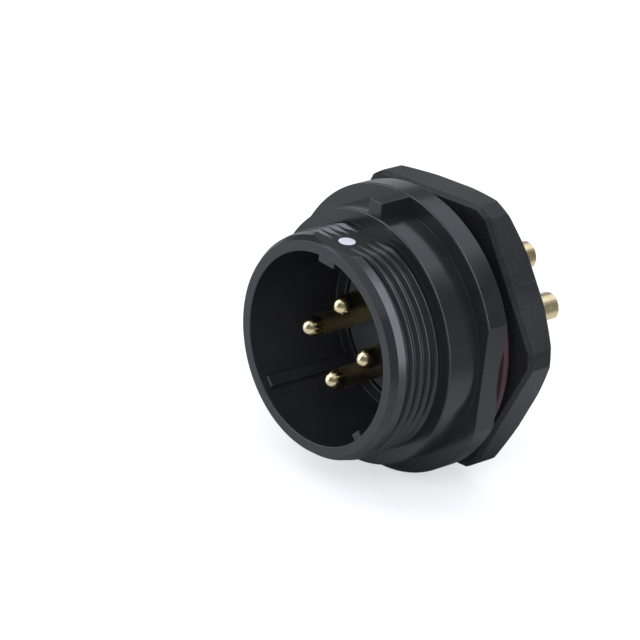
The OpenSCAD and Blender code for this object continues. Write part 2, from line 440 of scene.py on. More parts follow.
def rounded(corners: Sequence[Corner], steps: int = 5) -> list[tuple[float, float]]:
    """Round the corners of a closed outline with arcs.

    Args:
        corners: the corners in order, each with its fillet's radius (0 leaves it sharp).
        steps: segments of one fillet.

    Returns:
        The outline's points.
    """
    points: list[tuple[float, float]] = []
    for i, (u, v, fillet) in enumerate(corners):
        here = Vector((u, v))
        back = Vector(corners[i - 1][:2]) - here
        ahead = Vector(corners[(i + 1) % len(corners)][:2]) - here
        if fillet <= 0.0:
            points.append((u, v))
            continue
        half = back.angle(ahead) / 2.0
        reach = min(fillet / math.tan(half), 0.49 * back.length, 0.49 * ahead.length)
        back.normalize()
        ahead.normalize()
        centre = here + (back + ahead).normalized() * reach / math.cos(half)
        first = here + back * reach - centre
        sweep = first.angle_signed(here + ahead * reach - centre)
        for k in range(steps + 1):
            arm = first.copy()
            arm.rotate(Matrix.Rotation(-sweep * k / steps, 2))
            points.append(tuple(centre + arm))
    return points


def turned(corners: Sequence[Corner], steps: int = TURN_STEPS) -> bmesh.types.BMesh:
    """Turn a closed outline of radius and station about the connector's axis.

    Args:
        corners: the outline's corners with their fillets.
        steps: segments of the full turn.

    Returns:
        The solid of revolution.
    """
    bm = bmesh.new()
    verts = [bm.verts.new((r, y, 0.0)) for r, y in rounded(corners)]
    edges = [bm.edges.new(pair) for pair in zip(verts, verts[1:] + verts[:1])]
    bmesh.ops.spin(
        bm, geom=verts + edges, cent=(0, 0, 0), axis=AXIS, angle=math.tau, steps=steps, use_merge=True
    )
    bmesh.ops.remove_doubles(bm, verts=bm.verts, dist=TURN_MERGE)
    bmesh.ops.recalc_face_normals(bm, faces=bm.faces)
    return bm


def moved(bm: bmesh.types.BMesh, x: float = 0.0, y: float = 0.0, z: float = 0.0) -> bmesh.types.BMesh:
    """Shift a solid and return it."""
    bmesh.ops.translate(bm, verts=bm.verts, vec=(x, y, z))
    return bm


def clocked(bm: bmesh.types.BMesh, clock: float) -> bmesh.types.BMesh:
    """Turn a solid about the axis so that its +X side comes to a clock angle, and return it."""
    turn = Matrix.Rotation(-math.radians(clock), 3, AXIS)
    bmesh.ops.rotate(bm, cent=(0, 0, 0), matrix=turn, verts=bm.verts)
    return bm


def bevelled(
    bm: bmesh.types.BMesh,
    edges: Iterable[bmesh.types.BMEdge],
    width: float,
    segments: int = 4,
    clamp: bool = False,
) -> bmesh.types.BMesh:
    """Round or chamfer edges of a solid.

    Args:
        bm: the solid.
        edges: the edges to work.
        width: width of the rounding.
        segments: its segments; one makes a chamfer.
        clamp: whether it narrows where two roundings would meet.

    Returns:
        The solid itself.
    """
    bmesh.ops.bevel(
        bm,
        geom=list(edges),
        offset=width,
        segments=segments,
        profile=0.5,
        affect="EDGES",
        clamp_overlap=clamp,
        material=-1,
    )
    return bm


def block(low: Sequence[float], high: Sequence[float], fillet: float = 0.0) -> bmesh.types.BMesh:
    """Box between two corners, with rounded edges.

    Args:
        low: lowest corner.
        high: highest corner.
        fillet: radius of the edges.

    Returns:
        The solid.
    """
    bm = bmesh.new()
    bmesh.ops.create_cube(bm, size=1.0)
    bmesh.ops.scale(bm, vec=Vector(high) - Vector(low), verts=bm.verts)
    moved(bm, *(Vector(high) + Vector(low)) / 2)
    return bevelled(bm, bm.edges, fillet) if fillet > 0.0 else bm


def bar(radius: float, from_y: float, to_y: float, steps: int = 64) -> bmesh.types.BMesh:
    """Round bar on the axis between two stations.

    Args:
        radius: its radius.
        from_y: first station.
        to_y: last station.
        steps: segments of its circle.

    Returns:
        The solid.
    """
    bm = bmesh.new()
    bmesh.ops.create_cone(
        bm,
        cap_ends=True,
        segments=steps,
        radius1=radius,
        radius2=radius,
        depth=to_y - from_y,
        matrix=Matrix.Rotation(-math.pi / 2, 4, "X"),
    )
    return moved(bm, y=(from_y + to_y) / 2)


@dataclass(frozen=True)
class Thread:
    """A right-hand screw thread of 60 degrees with bowed crests.

    Attributes:
        major_r: radius of the crests.
        height: from the root to the crest.
        pitch: travel in one turn.
        crest_y: station of one crest at clock angle 0.
        crest_w: width of the crest.
        crest_bow: how far the bowed crest leans at its edges, in degrees.
        flank: angle of each flank, in degrees.
        steps: segments of one turn.
    """

    major_r: float
    height: float
    pitch: float
    crest_y: float
    crest_w: float
    crest_bow: float = 28.0
    flank: float = 30.0
    steps: int = 144

    @property
    def root_r(self) -> float:
        """Radius of the roots."""
        return self.major_r - self.height

    def ridge(self) -> list[tuple[float, float]]:
        """Outline of one pitch, from root to root.

        Returns:
            Radius and station of each point.
        """
        half = self.crest_w / 2
        bow = math.radians(self.crest_bow)
        crest_r = half / math.sin(bow)
        edge_r = self.major_r - crest_r * (1.0 - math.cos(bow))
        foot = half + (edge_r - self.root_r) * math.tan(math.radians(self.flank))
        line = [(self.root_r, -self.pitch / 2), (self.root_r, -foot)]
        for k in range(7):
            lean = bow * (k / 3.0 - 1.0)
            line.append((self.major_r - crest_r * (1.0 - math.cos(lean)), crest_r * math.sin(lean)))
        return line + [(self.root_r, foot), (self.root_r, self.pitch / 2)]

    def rod(self, from_y: float, to_y: float) -> bmesh.types.BMesh:
        """Threaded rod between two stations.

        Args:
            from_y: first station.
            to_y: last station.

        Returns:
            The closed solid.
        """
        turns = math.ceil((to_y - from_y) / self.pitch) + 3
        below = math.ceil((self.crest_y - from_y) / self.pitch) + 1
        start = self.crest_y - below * self.pitch
        bm = bmesh.new()
        verts = [bm.verts.new((r, start + y, 0.0)) for r, y in self.ridge()]
        edges = [bm.edges.new(pair) for pair in zip(verts, verts[1:])]
        bmesh.ops.spin(
            bm,
            geom=verts + edges,
            cent=(0, 0, 0),
            axis=AXIS,
            dvec=AXIS * self.pitch / self.steps,
            angle=math.tau * turns,
            steps=self.steps * turns,
        )
        bmesh.ops.remove_doubles(bm, verts=bm.verts, dist=THREAD_MERGE)
        for y, side in ((from_y, -1.0), (to_y, 1.0)):
            cut = bmesh.ops.bisect_plane(
                bm,
                geom=bm.verts[:] + bm.edges[:] + bm.faces[:],
                plane_co=(0, y, 0),
                plane_no=AXIS * side,
                clear_outer=True,
            )
            rim = [e for e in cut["geom_cut"] if isinstance(e, bmesh.types.BMEdge)]
            bmesh.ops.contextual_create(bm, geom=rim)
        bmesh.ops.recalc_face_normals(bm, faces=bm.faces)
        return bm


@dataclass
class Solid:
    """A body that is worked like a part in a shop: other solids are added to it and cut from it.

    Attributes:
        name: name of the finished piece.
        bm: the starting solid, in millimetres.
        piece: the object that it becomes.
    """

    name: str
    bm: bmesh.types.BMesh
    piece: bpy.types.Object = field(init=False)

    def __post_init__(self) -> None:
        """Turn the starting solid into an object."""
        self.piece = self._as_object(self.name, self.bm)

    @staticmethod
    def _as_object(name: str, bm: bmesh.types.BMesh) -> bpy.types.Object:
        """Put a mesh into the scene and free it.

        Args:
            name: name of the object.
            bm: its mesh.

        Returns:
            The object.
        """
        mesh = bpy.data.meshes.new(name)
        bm.to_mesh(mesh)
        bm.free()
        piece = bpy.data.objects.new(name, mesh)
        bpy.context.scene.collection.objects.link(piece)
        return piece

    @staticmethod
    def _remove(piece: bpy.types.Object) -> None:
        """Delete an object and its mesh."""
        mesh = piece.data
        bpy.data.objects.remove(piece)
        bpy.data.meshes.remove(mesh)

    def _copy(self) -> bmesh.types.BMesh:
        """Copy of the body's mesh."""
        bm = bmesh.new()
        bm.from_mesh(self.piece.data)
        return bm

    def melt(self) -> bmesh.types.BMesh:
        """Take the body out of the scene and give its mesh back as a tool."""
        bm = self._copy()
        self._remove(self.piece)
        return bm

    def combine(self, how: Cut, *tools: bmesh.types.BMesh) -> "Solid":
        """Add tools to the body, cut them from it, or keep what is inside them.

        Args:
            how: the operation.
            tools: closed solids, used up by the operation.

        Returns:
            The body itself.
        """
        for tool in tools:
            other = self._as_object(f"{self.name}_tool", tool)
            modifier = self.piece.modifiers.new(how.value, "BOOLEAN")
            modifier.operation = how.value
            modifier.solver = "MANIFOLD"
            modifier.object = other
            bpy.context.view_layer.update()
            graph = bpy.context.evaluated_depsgraph_get()
            before = self.piece.data
            after = bpy.data.meshes.new_from_object(self.piece.evaluated_get(graph))
            self.piece.modifiers.clear()
            self.piece.data = after
            after.name = self.name
            bpy.data.meshes.remove(before)
            self._remove(other)
        return self

    def soften(self, width: float) -> None:
        """Round every sharp edge of the body.

        Args:
            width: width of the rounding in millimetres.
        """
        bm = self._copy()
        bmesh.ops.remove_doubles(bm, verts=bm.verts, dist=ROUNDING_MERGE)
        bmesh.ops.dissolve_limit(
            bm, angle_limit=math.radians(0.2), verts=bm.verts, edges=bm.edges, delimit=set()
        )
        bend = math.radians(SHARP_DEG)
        sharp = [e for e in bm.edges if e.is_manifold and e.calc_face_angle() > bend]
        bevelled(bm, sharp, width, segments=2, clamp=True)
        bmesh.ops.triangulate(bm, faces=[f for f in bm.faces if len(f.verts) > 4])
        bm.to_mesh(self.piece.data)
        bm.free()

    def finish(self, finish: Finish, body: Body, *nodes: str) -> None:
        """Bring the body to metres, shade and dress it, and give it its place in the frame.

        Args:
            finish: its finish, whose material is built already.
            body: the rigid body that it rides on.
            nodes: the nodes that it stands for.
        """
        bm = self._copy()
        bmesh.ops.remove_doubles(bm, verts=bm.verts, dist=LAST_MERGE)
        bmesh.ops.dissolve_degenerate(bm, edges=bm.edges, dist=LAST_MERGE / 2)
        bmesh.ops.scale(bm, vec=(MM, MM, MM), verts=bm.verts)
        for face in bm.faces:
            face.smooth = True
        for edge in bm.edges:
            bend = edge.calc_face_angle(0.0) if edge.is_manifold else math.pi
            edge.smooth = bend < math.radians(SHARP_DEG)
        bm.to_mesh(self.piece.data)
        bm.free()
        dress(self.piece, finish)
        weighted = self.piece.modifiers.new("even_shading", "WEIGHTED_NORMAL")
        weighted.keep_sharp = True
        weighted.weight = 60
        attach(self.piece, body.value)
        if nodes:
            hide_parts(*nodes)
        log.info("%s: %d faces on %s", self.name, len(self.piece.data.polygons), body.value)


def dress(piece: bpy.types.Object, finish: Finish) -> None:
    """Give a piece the material of a finish and no other."""
    piece.data.materials.clear()
    piece.data.materials.append(bpy.data.materials[finish.name])


# --- Sub-assemblies --------------------------------------------------------------------------


@dataclass
class Shell:
    """The one-piece housing: coupling end, keyed cavity, collar, flange and mounting barrel.

    Attributes:
        coupling: the coupling thread.
        mounting: the thread of the mounting barrel.
        root_gap: how far the body lies under the threads' roots, which are added to it.
        rim_r: outer radius of the front rim.
        land_front_r: radius of the plain land at its front.
        land_rear_r: radius of the plain land at its rear.
        chamfer_len: length of the cone from the rim to the land.
        land_len: length of the land.
        mouth_r: radius of the cavity at its mouth.
        floor_r: radius of the cavity at its floor.
        floor_depth: depth of the cavity.
        lip_r: inner radius of the lip at the cavity's floor.
        lip_t: thickness of the lip.
        bore_r: radius of the barrel's bore.
        collar_r: radius of the collar.
        collar_len: its length.
        flange_t: thickness of the flange.
        flange_flat_x: distance from the axis to each flat of the flange.
        key_r: radius of the keys' tops.
        top_key_w: width of the wide key.
        side_key_w: width of the narrow keys.
        top_key_setback: how far the wide key starts behind the rim.
        side_key_setback: how far the narrow keys start behind the rim.
        top_flat_z: height of the coupling end's flat.
        rear_flat_z: height of the barrel's flat.
        block_w: width of the locating block.
        barrel_chamfer: size of the chamfer at the barrel's end.
        edge_r: fillet of the collar's and the flange's front edges.
    """

    coupling: Thread
    mounting: Thread
    root_gap: float = 0.05
    rim_r: float = 15.54
    land_front_r: float = 16.18
    land_rear_r: float = 16.42
    chamfer_len: float = 1.0
    land_len: float = 1.25
    mouth_r: float = 14.0
    floor_r: float = 13.8
    floor_depth: float = 16.3
    lip_r: float = 11.95
    lip_t: float = 1.2
    bore_r: float = 13.0
    collar_r: float = 18.6
    collar_len: float = 5.5
    flange_t: float = 3.6
    flange_flat_x: float = 19.5
    key_r: float = 12.9
    top_key_w: float = 3.2
    side_key_w: float = 1.7
    top_key_setback: float = 0.2
    side_key_setback: float = 0.7
    top_flat_z: float = 15.75
    rear_flat_z: float = 14.3
    block_w: float = 2.5
    barrel_chamfer: float = 0.7
    edge_r: float = 0.22

    def __post_init__(self) -> None:
        """Take the stations from the frame."""
        low, high = node_box("shell")
        self.rim_y = low.y
        self.end_y = high.y
        self.flange_r = high.z
        self.flange_y = -self.flange_t
        self.collar_y = self.flange_y - self.collar_len
        self.floor_y = self.rim_y + self.floor_depth
        self.land_end_y = self.rim_y + self.chamfer_len + self.land_len

    def outline(self) -> list[Corner]:
        """Half section of the housing without its threads.

        Returns:
            The outline's corners with their fillets.
        """
        coupling_root = self.coupling.root_r - self.root_gap
        mounting_root = self.mounting.root_r - self.root_gap
        lip_y = self.floor_y + self.lip_t
        return [
            (mounting_root - 0.1, self.end_y, 0.12),
            (mounting_root - 0.05, self.end_y - 0.2, 0.0),
            (mounting_root, 0.0, 0.0),
            (self.flange_r, 0.0, 0.15),
            (self.flange_r, self.flange_y, self.edge_r),
            (self.collar_r, self.flange_y, 0.05),
            (self.collar_r, self.collar_y, self.edge_r),
            (coupling_root, self.collar_y, 0.08),
            (coupling_root, self.land_end_y, 0.0),
            (self.land_rear_r, self.land_end_y, 0.05),
            (self.land_front_r, self.rim_y + self.chamfer_len, 0.10),
            (self.rim_r, self.rim_y, 0.10),
            (self.mouth_r, self.rim_y, 0.12),
            (self.floor_r, self.floor_y, 0.18),
            (self.lip_r, self.floor_y, 0.28),
            (self.lip_r, lip_y, 0.08),
            (self.bore_r, lip_y, 0.0),
            (self.bore_r, self.end_y, 0.12),
        ]

    def barrel_envelope(self) -> list[Corner]:
        """Outline that the mounting thread is turned down to, with its chamfered end.

        Returns:
            The outline's corners with their fillets.
        """
        top = self.mounting.major_r
        return [
            (0.0, -0.3, 0.0),
            (top, -0.3, 0.0),
            (top, self.end_y - self.barrel_chamfer, 0.0),
            (top - self.barrel_chamfer, self.end_y, 0.0),
            (0.0, self.end_y, 0.0),
        ]

    def key(self, clock: float, width: float, setback: float) -> bmesh.types.BMesh:
        """Rib of the cavity that polarises the mating plug.

        Args:
            clock: its clock angle.
            width: its width.
            setback: how far it starts behind the rim.

        Returns:
            The solid.
        """
        sunk = 0.4
        low = (self.key_r, self.rim_y + setback, -width / 2)
        high = (self.mouth_r + sunk, self.floor_y + sunk, width / 2)
        return clocked(block(low, high, fillet=0.12), clock)

    def locating_block(self) -> bmesh.types.BMesh:
        """Block on the collar that lines the coupling up; its top is flush with the flange."""
        low = (-self.block_w / 2, self.collar_y + 0.06, self.collar_r - 0.8)
        high = (self.block_w / 2, self.flange_y + 0.6, self.flange_r - 0.10)
        return block(low, high, fillet=0.13)

    def build(self) -> None:
        """Turn the housing, add its threads, keys and block, and mill its flats."""
        body = Solid("shell_moulding", turned(self.outline()))
        front = Solid("front_sleeve", self.coupling.rod(self.land_end_y - 0.03, self.collar_y + 0.3))
        front.combine(Cut.TAKE, bar(self.mouth_r + 0.8, self.rim_y - PAST, 0.0, 128))
        rear = Solid("rear_sleeve", self.mounting.rod(-0.3, self.end_y - 0.02))
        rear.combine(Cut.TAKE, bar(self.bore_r + 0.6, -PAST, self.end_y + PAST, 128))
        rear.combine(Cut.KEEP, turned(self.barrel_envelope()))
        body.combine(
            Cut.ADD,
            front.melt(),
            rear.melt(),
            self.key(90.0, self.top_key_w, self.top_key_setback),
            self.key(225.0, self.side_key_w, self.side_key_setback),
            self.key(315.0, self.side_key_w, self.side_key_setback),
            self.locating_block(),
        )
        far = 2 * self.flange_r
        flange = self.flange_y - PAST
        body.combine(
            Cut.TAKE,
            block((-far, self.rim_y - PAST, self.top_flat_z), (far, self.collar_y, far)),
            block((self.flange_flat_x, flange, -far), (far, PAST, far)),
            block((-far, flange, -far), (-self.flange_flat_x, PAST, far)),
            block((-far, 0.0, self.rear_flat_z), (far, self.end_y + PAST, far)),
        )
        body.finish(SHELL_FINISH, Body.CONNECTOR, "shell")


@dataclass
class AlignmentDot:
    """Painted dot on the flat of the coupling end that shows where the wide key is.

    Attributes:
        radius: its radius.
        station: station of its middle.
        flat_z: height of the flat that it lies on.
        thickness: thickness of the paint above the flat.
    """

    radius: float = 1.2
    station: float = -13.65
    flat_z: float = 15.75
    thickness: float = 0.05

    def build(self) -> None:
        """Lay down the dot, with a rounded edge."""
        bm = bmesh.new()
        bmesh.ops.create_cone(
            bm,
            cap_ends=True,
            segments=64,
            radius1=self.radius,
            radius2=self.radius,
            depth=2 * self.thickness,
        )
        moved(bm, y=self.station, z=self.flat_z)
        top = [e for e in bm.edges if all(v.co.z > self.flat_z for v in e.verts)]
        bevelled(bm, top, 0.9 * self.thickness, segments=3)
        Solid("alignment_dot", bm).finish(DOT_FINISH, Body.CONNECTOR)


@dataclass
class HexNut:
    """The panel nut: hexagon with turned-down corners, chamfered front, threaded bore.

    Attributes:
        thread: the mounting thread that it runs on.
        flat_r: distance from the axis to a flat.
        corner_r: radius that the corners are turned down to.
        flat_clock: clock angle of one flat.
        front_chamfer: size of the chamfer round the front face.
        rear_chamfer: radial size of the turned chamfer behind.
        running_gap: radial play between the barrel's crests and the nut's own.
        groove_depth: depth of its thread, which lies outside the barrel's crests so that the nut
            can turn on the spot.
        mouth_gap: how far the countersinks at both faces pass the thread's grooves.
        edge_r: width of the rounding on all sharp edges.
    """

    thread: Thread
    flat_r: float = 19.75
    corner_r: float = 22.11
    flat_clock: float = 36.0
    front_chamfer: float = 0.58
    rear_chamfer: float = 2.1
    running_gap: float = 0.06
    groove_depth: float = 0.5
    mouth_gap: float = 0.25
    edge_r: float = 0.09

    def __post_init__(self) -> None:
        """Take the stations from the frame."""
        low, high = node_box("hex_nut")
        self.front_y = low.y
        self.rear_y = high.y

    def prism(self) -> bmesh.types.BMesh:
        """Hexagonal prism with a chamfered front face.

        Returns:
            The solid.
        """
        bm = bar(self.flat_r / math.cos(math.pi / 6), self.front_y, self.rear_y, steps=6)
        middle = (self.front_y + self.rear_y) / 2
        front = [e for e in bm.edges if all(v.co.y < middle for v in e.verts)]
        bevelled(bm, front, self.front_chamfer, segments=1)
        side = next(f.normal for f in bm.faces if abs(f.normal.y) < 0.01)
        return clocked(bm, self.flat_clock - math.degrees(math.atan2(side.z, side.x)))

    def envelope(self) -> list[Corner]:
        """Outline that the prism is turned down to.

        Returns:
            The outline's corners with their fillets.
        """
        start_y = self.front_y - PAST
        slope = math.tan(math.radians(30.0))
        return [
            (0.0, start_y, 0.0),
            (self.corner_r - self.front_chamfer - PAST, start_y, 0.0),
            (self.corner_r, self.front_y + self.front_chamfer, 0.0),
            (self.corner_r, self.rear_y - self.rear_chamfer * slope, 0.35),
            (self.corner_r - self.rear_chamfer, self.rear_y, 0.3),
            (0.0, self.rear_y, 0.0),
        ]

    def countersink(self, y: float, side: float) -> bmesh.types.BMesh:
        """Cutter of 45 degrees for the bore's mouth.

        Args:
            y: station of the face.
            side: 1 where the nut lies behind the face, -1 where it lies in front.

        Returns:
            The solid.
        """
        radius = self.thread.major_r + self.groove_depth + self.mouth_gap
        out, into = 0.5, 1.1
        return turned(
            [
                (0.0, y - side * out, 0.0),
                (radius + out, y - side * out, 0.0),
                (radius - into, y + side * into, 0.0),
                (0.0, y + side * into, 0.0),
            ]
        )

    def build(self) -> None:
        """Turn the prism down, round its edges, tap it and countersink its bore."""
        nut = Solid("hex_nut_moulding", self.prism())
        nut.combine(Cut.KEEP, turned(self.envelope()))
        nut.soften(self.edge_r)
        tap = replace(
            self.thread,
            major_r=self.thread.major_r + self.running_gap + self.groove_depth,
            height=self.groove_depth,
        )
        nut.combine(
            Cut.TAKE,
            tap.rod(self.front_y - PAST, self.rear_y + PAST),
            self.countersink(self.front_y, 1.0),
            self.countersink(self.rear_y, -1.0),
        )
        nut.finish(NUT_FINISH, Body.NUT, "hex_nut")


@dataclass
class PanelGasket:
    """Flat silicone ring under the flange, with slightly rounded edges.

    Attributes:
        barrel_r: radius of the barrel that it sits on.
        edge_r: rounding of its outer edge towards the panel; the other edges have half of it.
        bore_gap: play on the barrel.
        setback: how far its edge lies inside the node's.
    """

    barrel_r: float
    edge_r: float = 0.28
    bore_gap: float = 0.1
    setback: float = 0.2

    def build(self) -> None:
        """Mould the ring."""
        low, high = node_box("panel_gasket")
        inner = self.barrel_r + self.bore_gap
        outer = high.z - self.setback
        ring = [
            (inner, low.y, self.edge_r / 2),
            (outer, low.y, self.edge_r / 2),
            (outer, high.y, self.edge_r),
            (inner, high.y, self.edge_r / 2),
        ]
        body = Solid("panel_gasket_ring", turned(ring))
        body.finish(GASKET_FINISH, Body.CONNECTOR, "panel_gasket")


@dataclass
class Contact:
    """One turned contact: rounded pin, root, shoulder and solder cup with a cut-away mouth.

    Attributes:
        number: 1 to 4, clockwise from the top as seen from the mating end.
        boss_y: station of the insulator's front face.
        seat_y: station of the shoulder's front face.
        circle_r: radius of the circle that the contacts stand on.
        pin_r: radius of the pin.
        tip_len: length of the pin's rounded tip.
        tip_steps: segments of its curve.
        root_r: radius of the thicker root that stands in the insulator.
        shoulder_r: radius of the shoulder.
        shoulder_len: its length.
        cup_r: outer radius of the solder cup.
        bore_r: radius of the cup's bore.
        cup_depth: depth of the bore.
        scoop_len: length of the mouth that is cut away.
        scoop_depth: how deep it is cut.
    """

    number: int
    boss_y: float
    seat_y: float = 2.0
    circle_r: float = 5.8
    pin_r: float = 1.5
    tip_len: float = 1.9
    tip_steps: int = 14
    root_r: float = 1.75
    shoulder_r: float = 2.95
    shoulder_len: float = 2.0
    cup_r: float = 2.1
    bore_r: float = 1.65
    cup_depth: float = 8.5
    scoop_len: float = 4.6
    scoop_depth: float = 0.9

    @property
    def axis_xz(self) -> tuple[float, float]:
        """Where the contact's own axis runs."""
        return polar(self.circle_r, 90.0 - 90.0 * (self.number - 1))

    def outline(self, tip_y: float, end_y: float) -> list[Corner]:
        """Half section of the contact.

        Args:
            tip_y: station of the pin's tip.
            end_y: station of the cup's end.

        Returns:
            The outline's corners with their fillets.
        """
        bottom_y = end_y - self.cup_depth
        back_y = self.seat_y + self.shoulder_len
        tip = []
        for k in range(self.tip_steps + 1):
            lean = math.pi / 2 * k / self.tip_steps
            tip.append((self.pin_r * math.sin(lean), tip_y + self.tip_len * (1 - math.cos(lean)), 0.0))
        return tip + [
            (self.pin_r, self.boss_y - 0.55, 0.10),
            (self.root_r, self.boss_y - 0.30, 0.08),
            (self.root_r, self.seat_y, 0.0),
            (self.shoulder_r, self.seat_y, 0.1),
            (self.shoulder_r, back_y, 0.1),
            (self.cup_r, back_y, 0.0),
            (self.cup_r, end_y, 0.10),
            (self.bore_r, end_y, 0.12),
            (self.bore_r, bottom_y, 0.3),
            (0.0, bottom_y - self.bore_r / 2, 0.0),
        ]

    def scoop(self, end_y: float) -> bmesh.types.BMesh:
        """Cutter of the cup's mouth: a milled slot, open below, with a rounded inner end.

        Args:
            end_y: station of the cup's end.

        Returns:
            The solid.
        """
        start_y = end_y - self.scoop_len
        floor_z = self.scoop_depth - 4 * self.cup_r
        wide = 2 * self.cup_r
        bm = block((-wide, start_y, floor_z), (wide, end_y + PAST, self.scoop_depth - self.cup_r))
        inner = [
            e
            for e in bm.edges
            if all(v.co.y < start_y + self.scoop_depth and v.co.z > floor_z + 0.1 for v in e.verts)
        ]
        return bevelled(bm, inner, self.scoop_depth, segments=8)

    def build(self) -> None:
        """Turn the contact on its own axis, mill its cup and move it to its place."""
        node = f"contact_{self.number}"
        low, high = node_box(node)
        body = Solid(f"{node}_turned", turned(self.outline(low.y, high.y), 64))
        body.combine(Cut.TAKE, self.scoop(high.y))
        x, z = self.axis_xz
        body.piece.data.transform(Matrix.Translation((x, 0.0, z)))
        body.finish(GOLD_FINISH, Body.CONNECTOR, node)


@dataclass
class InsulatorStack:
    """Front and rear insulator and the ring that holds them in the barrel.

    Attributes:
        contacts: the contacts that pass through.
        boss_r: radius of the front insulator's boss.
        boss_end_y: station where the boss ends.
        hole_gap: play of the contacts in their holes.
        ring_w: radial width of the ring.
        notch: half the width and length of the ring's spanner notches.
    """

    contacts: list[Contact]
    boss_r: float = 11.85
    boss_end_y: float = 0.1
    hole_gap: float = 0.05
    ring_w: float = 2.3
    notch: float = 1.15

    def _bores(self, radius: float, from_y: float, to_y: float) -> list[bmesh.types.BMesh]:
        """Cutters of the contacts' holes.

        Args:
            radius: radius of the holes.
            from_y: first station.
            to_y: last station.

        Returns:
            One cutter for each contact.
        """
        bores = []
        for contact in self.contacts:
            x, z = contact.axis_xz
            bores.append(moved(bar(radius, from_y, to_y, 48), x=x, z=z))
        return bores

    def build_front(self) -> None:
        """Build the front insulator, with a shallow dish round each pin."""
        low, high = node_box("front_insulator")
        disc = [
            (0.0, low.y, 0.0),
            (self.boss_r, low.y, 0.15),
            (self.boss_r, self.boss_end_y, 0.0),
            (high.z, self.boss_end_y, 0.0),
            (high.z, high.y, 0.1),
            (0.0, high.y, 0.0),
        ]
        root_r = self.contacts[0].root_r
        body = Solid("front_insulator_disc", turned(disc))
        body.combine(
            Cut.TAKE,
            *self._bores(root_r + self.hole_gap, low.y - PAST, high.y + PAST),
            *self._bores(root_r + 0.55, low.y - PAST, low.y + 0.25),
        )
        body.finish(INSULATOR_FINISH, Body.CONNECTOR, "front_insulator")

    def build_rear(self) -> None:
        """Build the rear insulator, with a shallow dish round each cup."""
        low, high = node_box("rear_insulator")
        disc = [
            (0.0, low.y, 0.0),
            (high.z, low.y, 0.0),
            (high.z, high.y, 0.1),
            (0.0, high.y, 0.0),
        ]
        cup_r = self.contacts[0].cup_r
        body = Solid("rear_insulator_disc", turned(disc))
        body.combine(
            Cut.TAKE,
            *self._bores(cup_r + self.hole_gap, low.y - PAST, high.y + PAST),
            *self._bores(cup_r + 0.4, high.y - 0.3, high.y + PAST),
        )
        body.finish(INSULATOR_FINISH, Body.CONNECTOR, "rear_insulator")

    def build_ring(self) -> None:
        """Build the retaining ring with its two spanner notches."""
        low, high = node_box("retaining_ring")
        inner = high.z - self.ring_w
        ring = [
            (inner, low.y, 0.05),
            (high.z, low.y, 0.05),
            (high.z, high.y, 0.12),
            (inner, high.y, 0.15),
        ]
        body = Solid("retaining_ring_turned", turned(ring))
        middle_y = (low.y + high.y) / 2
        for side in (-1.0, 1.0):
            start, end = sorted((side * (inner - self.notch), side * (inner + self.notch)))
            notch = block((start, middle_y, -self.notch), (end, high.y + PAST, self.notch), fillet=0.1)
            body.combine(Cut.TAKE, notch)
        body.finish(INSULATOR_FINISH, Body.CONNECTOR, "retaining_ring")


# --- Studio ----------------------------------------------------------------------------------


@dataclass(frozen=True)
class Softbox:
    """A square or oblong lamp that looks at the object.

    Attributes:
        name: its name.
        clock: direction to it in the horizontal plane, in degrees from +X towards +Y.
        rise: its height angle in degrees.
        distance: from the object, in metres.
        width: its width in metres.
        height: its height in metres.
        radiance: how bright its face is, where 1 is white.
        rays: which rays from the object find it.
        tint: its colour.
    """

    name: str
    clock: float
    rise: float
    distance: float
    width: float
    height: float
    radiance: float
    rays: Rays = Rays.ALL
    tint: Colour = (0.90, 0.945, 1.06)

    def build(self) -> None:
        """Put the lamp into the scene; it lights and is mirrored, but the camera doesn't see it."""
        data = bpy.data.lights.new(self.name, "AREA")
        data.shape = "RECTANGLE"
        data.size = self.width
        data.size_y = self.height
        data.energy = self.radiance * math.pi * self.width * self.height
        data.color = self.tint
        lamp = bpy.data.objects.new(self.name, data)
        lamp.visible_camera = False
        lamp.visible_glossy = self.rays is not Rays.DIFFUSE
        lamp.visible_diffuse = self.rays is not Rays.GLOSSY
        turn, up = math.radians(self.clock), math.radians(self.rise)
        away = Vector((math.cos(turn) * math.cos(up), math.sin(turn) * math.cos(up), math.sin(up)))
        lamp.location = away * self.distance
        lamp.rotation_euler = away.to_track_quat("Z", "Y").to_euler()
        bpy.context.scene.collection.objects.link(lamp)


@dataclass(frozen=True)
class Patch:
    """Round patch of the floor that fades out at its edge.

    Attributes:
        x: place of its centre, in metres.
        y: place of its centre, in metres.
        radius: radius inside which it is full, in metres.
        fade: where it has faded out, in radii.
    """

    x: float
    y: float
    radius: float
    fade: float

    def outside(self, tree: NodeTree, point: bpy.types.NodeSocket) -> bpy.types.NodeSocket:
        """How far a point of the floor lies outside the patch.

        Args:
            tree: the floor's nodes.
            point: the coordinates.

        Returns:
            The socket: 0 inside and 1 where the patch has faded out.
        """
        away = tree.vector("DISTANCE", point, (self.x, self.y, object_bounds()[0].z))
        return tree.remap(away, self.radius, self.fade * self.radius, 0.0, 1.0)


